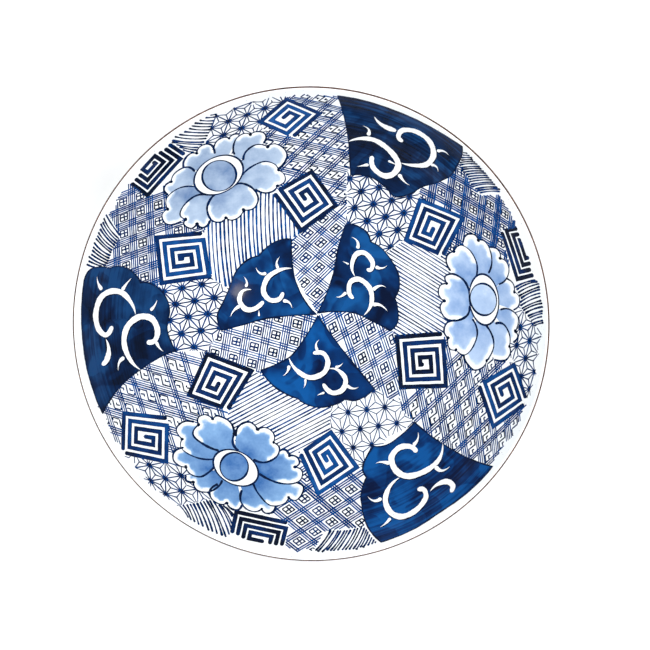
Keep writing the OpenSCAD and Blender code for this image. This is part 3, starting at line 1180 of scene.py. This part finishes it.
def visible_runs(zones, name, path, limit, shortest=0.7):
    """The stretches of a path where its field shows, inside the painting's free edge.

    A stretch goes on for TUCK steps under a motif, and keeps one point in THINNED.
    """
    path = np.asarray(path, float)
    run = distance_along(path)
    spots = np.arange(0, run[-1], RUN_STEP)
    if len(spots) < 2:
        return []
    at = at_distances(path, run, spots)
    keep = zones.shows(name, at)
    tucked = np.zeros_like(keep)
    for shift in range(1, TUCK + 1):
        tucked[shift:] |= keep[:-shift]
        tucked[:-shift] |= keep[shift:]
    keep = (keep | (tucked & zones.hidden(at))) & (lengths(at) < limit)
    runs = []
    for start, end in unbroken(keep):
        if (end - start) * RUN_STEP > shortest:
            thin = list(range(start, end, THINNED))
            if thin[-1] != end - 1:
                thin.append(end - 1)
            runs.append(at[thin])
    return runs


def free_end():
    """Where a line may stop near the rim, a little different every time."""
    return PAINT_LIMIT + dice.uniform(-1.8, 1.6)


# ---------------------------------------------------------------- motifs

def petal_shape(petal, centre):
    """Closed outline of a petal: its drawn edge, closed through the flower's middle."""
    edge = chained(petal)
    centre = np.array(centre, float)
    back = edge[-1] + np.linspace(0, 1, 21)[1:, None] * (centre - edge[-1])
    out = centre + np.linspace(0, 1, 21)[1:-1, None] * (edge[0] - centre)
    return np.vstack([edge, back, out])


def add_flower(flower):
    """Nine lobed petals round a disc, with white crescents, outlines and notch blots."""
    centre = np.array(flower["disc"][0])
    ring = ellipse(*flower["ring"])
    disc = ellipse(*flower["disc"])
    washes, whites, lines = Paint(), Paint(), Paint()
    lift = LAYER["petal"]
    for petal in flower["petals"]:
        shape = petal_shape(petal, centre)
        reach = lengths(shape - centre)
        edge = chained(petal)
        far = lengths(edge - centre)
        rim = edge[far > 0.70 * far.max()]
        strength = dice.uniform(0.80, 1.05)

        def tone(points, rim=rim, strength=strength, reach=reach):
            away = np.min(np.hypot(*(points[:, None] - rim[None]).transpose(2, 0, 1)), axis=1)
            inner = 1 - lengths(points - centre) / reach.max()
            ragged = 0.5 * np.sin(points[:, 0] * 0.9 + 7 * strength) * np.sin(points[:, 1] * 0.8)
            fade = np.clip((away - flower["white"] + ragged) / 2.6, 0, 1)
            fade = fade * fade * (3 - 2 * fade)
            return strength * fade * (0.46 + 0.62 * inner)

        washes.wash(shape, lift, tone, grid=1.7)
        lift += PETAL_RISE
    for petal in flower["petals"]:
        edge = chained(petal)
        heavy = dice.uniform(0.85, 1.25)
        lines.stroke(
            edge, lambda t, h=heavy: h * (1.12 + 0.34 * np.cos(WAVE * t)), 0.86,
            lift=LAYER["petal_line"], wobble=0.12,
        )
        for stretch in petal[:-1]:
            lines.dot(stretch[-1], dice.uniform(2.0, 2.9), 0.95, lift=LAYER["notch"])
    whites.wash(ring, LAYER["ring"], 0.0, grid=2.5)
    washes.wash(disc, LAYER["disc"], flower["heart"], grid=1.7)
    lines.stroke(
        np.vstack([ring, ring[:2]]), lambda t: 1.15 + 0.30 * np.cos(2 * WAVE * t), 0.86,
        lift=LAYER["ring_line"],
    )
    lines.stroke(
        np.vstack([disc, disc[:2]]), lambda t: 1.15 + 0.45 * np.cos(2 * WAVE * t + 1), 0.88,
        lift=LAYER["disc_line"],
    )
    pale, strong = (srgb(*tone) for tone in flower["tones"])
    return washes, whites, lines, petal_wash(flower["name"] + "_wash", pale, strong)


def spiral_path(corners, pitch, turns):
    """Square spiral inward from the first corner, with the same gap between its turns."""
    a, b, c, d = (np.array(corner, float) for corner in corners)
    wide = 0.5 * (np.hypot(*(b - a)) + np.hypot(*(c - d)))
    tall = 0.5 * (np.hypot(*(c - b)) + np.hypot(*(d - a)))

    def spot(u, v):
        u, v = u / wide, v / tall
        return (1 - u) * (1 - v) * a + u * (1 - v) * b + u * v * c + (1 - u) * v * d

    path = []
    inset = 0.0
    half = pitch * 0.28
    for turn in range(turns):
        near, far_u, far_v = half + inset, wide - half - inset, tall - half - inset
        if far_u - near < 0.4 * pitch or far_v - near < 0.4 * pitch:
            path.append(spot(0.52 * wide, min(near, 0.52 * tall)))
            break
        if not turn:
            path.append(spot(near, near))
        path.append(spot(far_u, near))
        path.append(spot(far_u, far_v))
        path.append(spot(near, far_v))
        if far_v - near < 1.6 * pitch:
            break
        path.append(spot(near, near + pitch))
        inset += pitch
    return np.array(path)


def add_square(paint, corners, depth, pitch, band):
    """Square spiral drawn with one wide brush stroke, cut off at the painting's free edge."""
    path = spiral_path(corners, pitch, 5)
    dense = [path[0]]
    for a, b in zip(path[:-1], path[1:]):
        count = max(2, int(np.hypot(*(b - a)) / 1.5))
        dense += [a + (b - a) * k / count for k in range(1, count + 1)]
    dense = np.array(dense)
    keep = lengths(dense) < PAINT_LIMIT + dice.uniform(-1.5, 1.0)
    for start, end in unbroken(keep):
        shade = depth + dice.uniform(-0.06, 0.06)
        swing = dice.uniform(0, WAVE)
        paint.stroke(
            dense[start:end], band,
            lambda t, s=shade, w=swing: s + 0.16 * np.sin(7 * t + w) + 0.18 * np.exp(-(t / 0.05) ** 2),
            lift=LAYER["square"], wobble=0.035,
        )


def add_panel(name, stretches, tone):
    """A scalloped ground with a dark border, and the curls left white in it, each over a painted shadow."""
    # border takes the dark border line and also the painted shadows under the white curls
    ground, border, curls = Paint(), Paint(), Paint()
    outline = closed_outline(stretches)
    ground.wash(outline, LAYER["ground"], tone, grid=2.4, border_width=2.2)
    loop = np.vstack([outline, outline[:2]])
    border.stroke(loop, lambda t: 0.85 + 0.25 * np.cos(30 * t), 0.93, lift=LAYER["border"], wobble=0.15)
    size = 1.45 if name.startswith("outer") else 1.12

    def white(path, slip, shadow_width, white_width):
        """A white stroke, over a dark copy that slips out from under it on one side as a painted shadow."""
        # Painted shadow: the dark copy of the stroke is slipped the same way under every curl and comma
        border.stroke(path + np.array(slip), shadow_width, 0.97, lift=LAYER["shadow"], start="taper")
        curls.stroke(path, white_width, 0.0, lift=LAYER["curl"], start="taper")

    wide = 2.9 * size
    for curl in CURLS[name]:
        white(
            smooth(curl, 0.8), (0.45, -0.55),
            lambda t: wide * (0.50 + 0.62 * np.sin(HALF_WAVE * t) ** 0.8),
            lambda t: wide * (0.42 + 0.58 * np.sin(HALF_WAVE * (0.12 + 0.70 * t))),
        )
    thick = 2.6 * size
    for comma in COMMAS[name]:
        white(
            smooth(comma, 0.7), (0.4, -0.45),
            lambda t: thick * (0.45 + 0.60 * t), lambda t: thick * (0.30 + 0.62 * t),
        )
    return ground, border, curls


def add_stripes(paint, name, field, zones):
    """Parallel brush lines across a field."""
    way = polar(field["slope"], 1.0)
    aside = np.array([-way[1], way[0]])
    middle = np.mean(field["border"], axis=0)
    count = int(75 / field["pitch"])
    for k in range(-count, count + 1):
        shift = k * field["pitch"] + dice.uniform(-0.22, 0.22)
        lean = dice.uniform(-0.012, 0.012)
        reach = np.linspace(-80, 80, 41)
        bow = field["bend"] * reach ** 2 / 10 * dice.uniform(0.4, 1.2)
        path = middle + np.outer(reach, way) + np.outer(shift + lean * reach + bow, aside)
        width = field["width"] * dice.uniform(0.75, 1.2)
        for run in visible_runs(zones, name, path, PAINT_LIMIT):
            tone = field["tone"] + dice.uniform(-0.10, 0.14)
            paint.stroke(
                run, lambda t, w=width: w * (1.12 - 0.3 * np.sin(HALF_WAVE * t)), tone,
                start="blunt", end="blunt", wobble=0.12,
            )


# A lattice is drawn for this many cells each way from its start, which is more than any field shows
CELLS_OUT = 16


def line_groups(paint, name, zones, start, along, across, offsets, width, tone):
    """Groups of parallel lines, one group for each step of a lattice."""
    way = along / np.hypot(*along)
    aside = np.array([-way[1], way[0]])
    for step in range(-CELLS_OUT, CELLS_OUT + 1):
        base = start + (step + 0.5) * across
        for offset in offsets:
            shift = offset + dice.uniform(-0.10, 0.10)
            reach = np.linspace(-130, 130, 27)
            path = base + np.outer(reach, way) + shift * aside
            for run in visible_runs(zones, name, path, free_end()):
                paint.stroke(run, width * dice.uniform(0.8, 1.2), tone + dice.uniform(-0.14, 0.10),
                             start="blunt", end="round", wobble=0.10)


def cells(start, rows, columns):
    """Places of a lattice, with small slips of the hand."""
    for i in range(-CELLS_OUT, CELLS_OUT + 1):
        for j in range(-CELLS_OUT, CELLS_OUT + 1):
            slip = np.array([dice.uniform(-0.25, 0.25), dice.uniform(-0.25, 0.25)])
            yield i, j, start + i * rows + j * columns + slip


def draw_clipped(paint, name, zones, points, width, tone):
    """A short polyline of a motif, wherever its field shows."""
    points = np.array(points)
    limit = free_end()
    if zones.shows(name, points).all() and lengths(points).max() < limit:
        paint.stroke(points, width, tone, wobble=0.08)
        return
    for pair in zip(points[:-1], points[1:]):
        for run in visible_runs(zones, name, pair, limit, shortest=0.5):
            paint.stroke(run, width, tone, wobble=0.08)


# Step of a lattice over which a group has four lines instead of three
WIDE_GAP = 12.2


def add_lattice(paint, name, field, zones):
    """Crossed groups of lines with a crossed box in every cell."""
    start = np.array(field["start"])
    rows, columns = polar(*field["rows"]), polar(*field["columns"])
    for along, across, gap in (
        (rows, columns, field["columns"][1]), (columns, rows, field["rows"][1]),
    ):
        wide = gap > WIDE_GAP and field.get("most_lines", 4) == 4
        offsets = (-2.25, -0.75, 0.75, 2.25) if wide else (-1.65, 0.0, 1.65)
        line_groups(paint, name, zones, start, along, across, offsets, field["width"], 0.60)
    box = [(-0.21, -0.21), (0.21, -0.21), (0.21, 0.21), (-0.21, 0.21), (-0.21, -0.21)]
    cross = [[(0.04, -0.20), (0.01, 0.20)], [(-0.20, 0.03), (0.20, 0.0)]]
    for _, _, spot in cells(start, rows, columns):
        if not zones.shows(name, spot[None])[0]:
            continue
        depth = dice.uniform(0.70, 0.95)
        for shape, width in [(box, 1.0)] + [(bar, 1.1) for bar in cross]:
            points = [spot + u * rows + v * columns for u, v in shape]
            draw_clipped(paint, name, zones, points, width, depth)


def add_fret(paint, name, field, zones):
    """Crossed groups of lines with a stepped key hook in every cell."""
    start = np.array(field["start"])
    rows, columns = polar(*field["rows"]), polar(*field["columns"])
    line_groups(paint, name, zones, start, columns, rows, (-1.5, 0.0, 1.5), 0.94, 0.66)
    line_groups(paint, name, zones, start, rows, columns, (-2.3, -0.75, 0.75, 2.3), 0.90, 0.60)
    hook = [(-0.34, 0.08), (-0.34, 0.22), (0.02, 0.22), (-0.02, -0.22), (0.34, -0.22), (0.34, -0.08)]
    bars = [[(0.18, 0.12), (0.17, 0.0), (0.34, 0.02)], [(-0.18, -0.12), (-0.17, 0.0), (-0.34, -0.02)]]
    for _, _, spot in cells(start, rows, columns):
        if not zones.shows(name, spot[None])[0]:
            continue
        depth = dice.uniform(0.75, 0.98)
        for shape in (hook, *bars):
            points = [spot + u * rows + v * columns for u, v in shape]
            draw_clipped(paint, name, zones, points, 0.98, depth)


def add_stars(paint, name, field, zones):
    """Hemp-leaf pattern: stars of twelve rays, and a small blot where three rays meet."""
    start = np.array(field["start"])
    rows, columns = polar(*field["rows"]), polar(*field["columns"])
    spots = {(i, j): spot for i, j, spot in cells(start, rows, columns)}
    weight = field["weight"]

    def ray(a, b, thick, thin):
        """A stroke between two places, wider where it really ends at them."""
        for run in visible_runs(zones, name, [a, b], free_end(), shortest=0.6):
            first = thick[0] if np.hypot(*(run[0] - a)) < 1.0 else thin
            last = thick[1] if np.hypot(*(run[-1] - b)) < 1.0 else thin
            paint.stroke(
                run, lambda t, f=first, g=last: thin + (f - thin) * (1 - t) ** 2.2 + (g - thin) * t ** 2.2,
                dice.uniform(0.62, 0.80), wobble=0.10,
            )

    for (i, j), spot in spots.items():
        if zones.shows(name, spot[None])[0] and np.hypot(*spot) < PAINT_LIMIT:
            paint.dot(spot, dice.uniform(1.5, 2.1), 0.98)
        for step in ((1, 0), (0, 1), (1, -1)):
            other = spots.get((i + step[0], j + step[1]))
            if other is not None:
                ray(spot, other, (1.05 * weight, 1.05 * weight), 0.70 * weight)
        for two in (((1, 0), (0, 1)), ((1, 0), (1, -1))):
            near = [spots.get((i + step[0], j + step[1])) for step in two]
            if any(corner is None for corner in near):
                continue
            slip = np.array([dice.uniform(-0.3, 0.3), dice.uniform(-0.3, 0.3)])
            middle = (spot + near[0] + near[1]) / 3 + slip
            for corner in (spot, *near):
                ray(corner, middle, (1.05 * weight, 0.90 * weight), 0.58 * weight)
            shown = zones.shows(name, middle[None])[0]
            if shown and dice.random() < 0.6 and np.hypot(*middle) < PAINT_LIMIT:
                paint.dot(middle, dice.uniform(0.9, 1.4), 0.85, lift=LAYER["ray_blot"])


def add_comb(paint, _, guides, zones):
    """Free strokes out to the rim, some of them ending in a blot."""
    starts, ends, count = guides
    first, last = smooth(starts, 0.5), smooth(ends, 0.5)
    for k in range(count):
        share = (k + 0.5 + dice.uniform(-0.12, 0.12)) / count
        a = first[int(share * (len(first) - 1))]
        b = last[int(share * (len(last) - 1))]
        way = b - a
        side = np.array([-way[1], way[0]])
        middle = (a + b) / 2 + side * dice.uniform(0.02, 0.06)
        path = smooth([a, middle, b + way * dice.uniform(-0.03, 0.03)], 1.2)
        path = path[~zones.hidden(path) & (lengths(path) < COMB_LIMIT)]
        if len(path) < 3:
            continue
        heavy = dice.uniform(1.25, 1.75)
        paint.stroke(
            path, lambda t, h=heavy: h * (1.15 - 0.40 * np.sin(HALF_WAVE * t)), dice.uniform(0.70, 0.92),
            wobble=0.12,
        )
        if dice.random() < 0.28:
            paint.dot(path[-1], dice.uniform(1.5, 2.1), 0.95)


# ---------------------------------------------------------------- the whole bowl

def finish_cad_nodes():
    """Materials of the CAD nodes that stay: the body inside its glaze, and the bare foot edge."""
    for node, material in (("bowl_body", porcelain_body()), ("foot_ring", bare_clay())):
        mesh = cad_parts[node].data
        mesh.materials.clear()
        mesh.materials.append(material)


def map_fields():
    """The zones of the inside: line-work fields, with every motif's outline over them."""
    zones = Zones()
    for table in (STRIPES, LATTICES, FRETS, STARS):
        for name, field in table.items():
            zones.add_field(name, field["border"])
    for corners, _ in SQUARES:
        zones.cover(corners)
    for stretches in (*PANELS.values(), *FANS.values()):
        zones.cover(closed_outline(stretches))
    for flower in FLOWERS:
        zones.cover(ellipse(*flower["ring"]))
        for petal in flower["petals"]:
            zones.cover(petal_shape(petal, flower["disc"][0]))
    return zones


def paint_fields(zones, ink):
    """Every field of fine line work, each as a piece of its own."""
    kinds = (
        (STRIPES, add_stripes), (LATTICES, add_lattice), (FRETS, add_fret), (STARS, add_stars),
        (COMBS, add_comb),
    )
    for table, draw in kinds:
        for name, field in table.items():
            paint = Paint()
            draw(paint, name, field, zones)
            paint.finish(name, ink)


def paint_panels(ink, white):
    """Scalloped panels and fans, each with its own ground."""
    deep = (srgb(16, 60, 108), srgb(2, 30, 68), srgb(0, 11, 34))
    royal = (srgb(8, 78, 144), srgb(1, 46, 100), srgb(0, 17, 54))
    middle = (srgb(14, 76, 136), srgb(2, 40, 88), srgb(0, 14, 44))
    grounds = {
        "outer_panel_1": (deep, 0.42, 1.4), "outer_panel_2": (deep, 0.48, 2.2),
        "outer_panel_3": (royal, 0.46, 2.2), "inner_fan_1": (middle, 0.36, 0.0),
        "inner_fan_2": (middle, 0.34, 0.0), "inner_fan_3": (royal, 0.48, 0.0),
    }
    for name, stretches in {**PANELS, **FANS}.items():
        colours, tone, streak = grounds[name]
        ground, border, curls = add_panel(name, stretches, tone)
        ground.finish(name, cobalt_ground(name + "_ground", *colours, streak))
        # This piece holds the dark border line and the painted shadows under the white curls
        border.finish(name + "_border", ink)
        curls.finish(name + "_curls", white)


# A square that comes nearer to the rim than this is drawn a little finer
OUTER_SQUARE = RIM_R * 1.15


def paint_squares(ink):
    """Every square spiral, each as a piece of its own."""
    for number, (corners, depth) in enumerate(SQUARES, 1):
        paint = Paint()
        at_rim = max(math.hypot(*corner) for corner in corners) > OUTER_SQUARE
        pitch, band = (4.35, 3.2) if at_rim else (4.95, 3.15)
        add_square(paint, corners, depth, pitch, band)
        paint.finish(f"spiral_square_{number}", ink)


def paint_flowers(ink, white):
    """The three flowers, each as its petals, its white ring and its lines."""
    for flower in FLOWERS:
        washes, whites, lines, wash = add_flower(flower)
        washes.finish(flower["name"] + "_petals", wash)
        whites.finish(flower["name"] + "_ring", white)
        lines.finish(flower["name"] + "_lines", ink)


def ring_line(paint, reach, width, tone):
    """A line drawn round the outside on the wheel."""
    turn = np.radians(np.linspace(0, 361, 241))
    paint.stroke(reach * np.stack([np.cos(turn), np.sin(turn)], 1), width, tone, wobble=0.05)


def add_spray(paint, heading):
    """A curling stem with small leaves on the outer wall. Its points are [across, out from the foot]."""
    middle_reach = 118.0

    def spots(points):
        """Places on the wall, with the spray bent round the bowl."""
        across, reach = np.transpose(points)
        angle = math.radians(heading) + across / middle_reach
        return reach[:, None] * np.stack([np.cos(angle), np.sin(angle)], 1)

    stems = [
        [(-62, 108), (-44, 120), (-22, 122), (0, 112), (20, 102), (40, 106), (54, 120)],
        [(-22, 122), (-14, 134), (-2, 138), (8, 132), (8, 123), (0, 121), (-3, 127)],
        [(20, 102), (30, 94), (42, 92), (50, 97), (48, 105), (41, 106)],
        [(-44, 120), (-50, 132), (-60, 136), (-68, 130), (-66, 122), (-60, 122)],
        [(54, 120), (58, 132), (50, 140), (40, 137), (40, 129), (46, 128)],
    ]
    stems = [smooth(stem, 1.2) for stem in stems]
    twig = np.concatenate(stems)
    for stem in stems:
        paint.stroke(spots(stem), lambda t: 2.3 - 1.2 * t, 0.62)
    leaves = [(-52, 112, 60), (-34, 124, 150), (-30, 118, -70), (-8, 118, 80), (6, 106, -100), (12, 108, 70),
              (30, 102, 100), (34, 104, -60), (48, 113, 150), (57, 128, 20), (14, 136, 20), (-70, 128, 170)]
    for x, y, lean in leaves:
        root = twig[np.argmin(np.hypot(twig[:, 0] - x, twig[:, 1] - y))]
        tip = root + polar(lean, 9.0)
        middle = (root + tip) / 2 + polar(lean + 90, 1.6)
        path = spots(smooth([root, middle, tip], 1.0))
        paint.stroke(
            path, lambda t: 4.2 * np.sin(HALF_WAVE * (0.08 + 0.9 * t)) ** 0.8, 0.48, end="taper",
        )


def paint_outside(ink):
    """Sparse outside: ring lines at the foot and under the rim, and three scrolling sprays."""
    rings = Paint(OUTSIDE)
    for reach, width, tone in ((73, 1.6, 0.70), (77.5, 0.8, 0.55), (165, 0.9, 0.55)):
        ring_line(rings, reach, width, tone)
    rings.finish("outside_rings", ink, "clear_glaze")
    for number, heading in enumerate((30, 150, 270), 1):
        spray = Paint(OUTSIDE)
        add_spray(spray, heading)
        spray.finish(f"outside_spray_{number}", ink, "clear_glaze")


def save_sizes():
    """Both overall boxes, the CAD one and the one shown, turned into plain numbers."""
    boxes = {"cad": cad_box, "shown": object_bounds()}
    plain = {name: [list(map(float, corner)) for corner in box] for name, box in boxes.items()}


add_camera()
add_light()
add_floor()
finish_cad_nodes()
glaze = white_glaze()
line_ink = cobalt_ink(
    "cobalt_line", srgb(84, 134, 192), srgb(12, 74, 140), srgb(3, 40, 92), srgb(2, 13, 36)
)
field_ink = cobalt_ink(
    "cobalt_field_line", srgb(84, 140, 200), srgb(12, 78, 146), srgb(3, 44, 100), srgb(2, 15, 40)
)
add_glazes(glaze, iron_brown())
paint_fields(map_fields(), field_ink)
paint_squares(line_ink)
paint_panels(line_ink, glaze)
paint_flowers(line_ink, glaze)
paint_outside(line_ink)
save_sizes()
